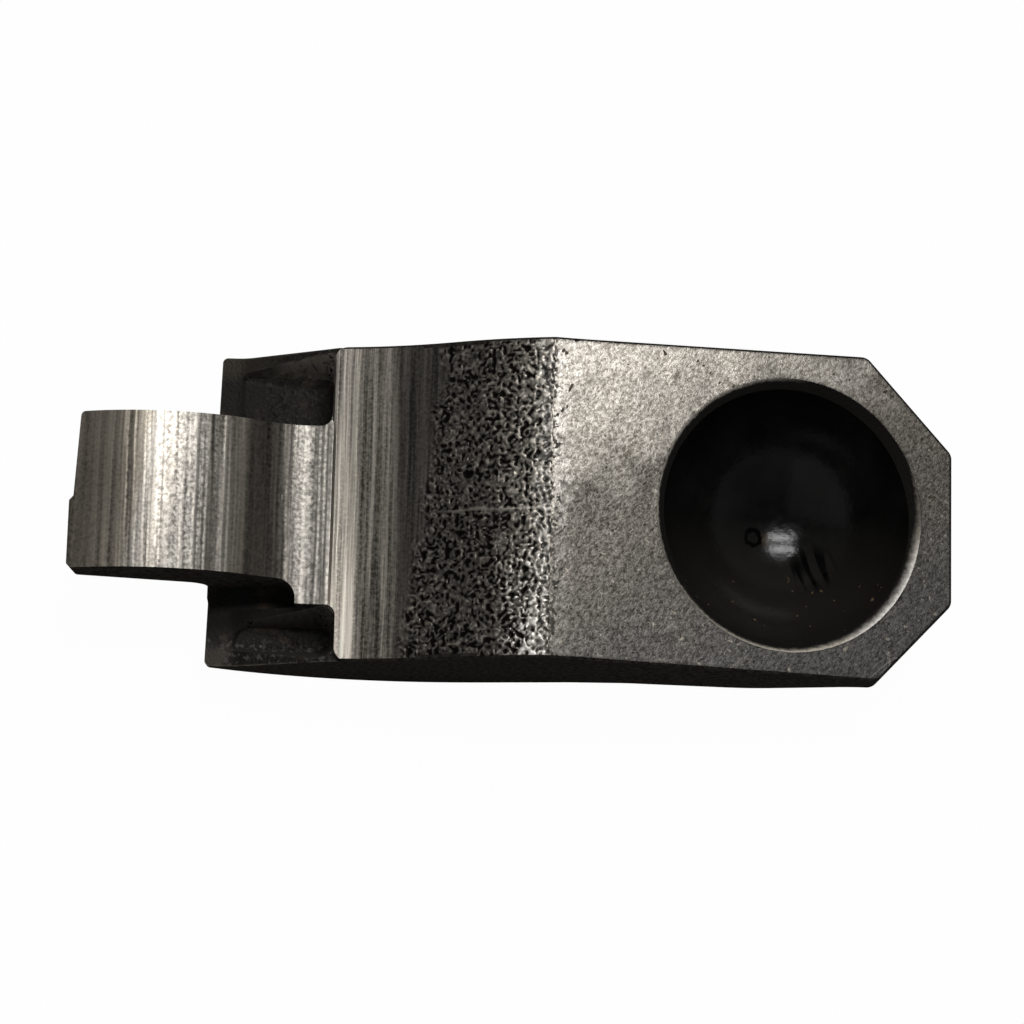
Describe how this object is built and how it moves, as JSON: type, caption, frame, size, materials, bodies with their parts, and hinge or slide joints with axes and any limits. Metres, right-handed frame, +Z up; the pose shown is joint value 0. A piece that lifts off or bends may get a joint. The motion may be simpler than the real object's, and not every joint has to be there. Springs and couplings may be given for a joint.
{
  "type": "rocker arm",
  "caption": "Forged finger-type rocker arm with a ball socket at one end, a valve pad on a narrow tongue at the other and a curved cam pad between them underneath.",
  "frame": {"origin": "centre of the pivot ball that sits in the socket", "axes": "+X from the valve pad towards the socket end, +Y across the arm, +Z up, out of the socket, with the arm lying on its cam pad and on the dome behind the socket"},
  "size_m": [0.0563, 0.0209, 0.015],
  "materials": {
    "forged_steel": "forged scale and blasted steel, with milled and ground pads"
  },
  "bodies": {
    "root": {"rocker_arm": "forged_steel"}
  },
  "joints": []
}
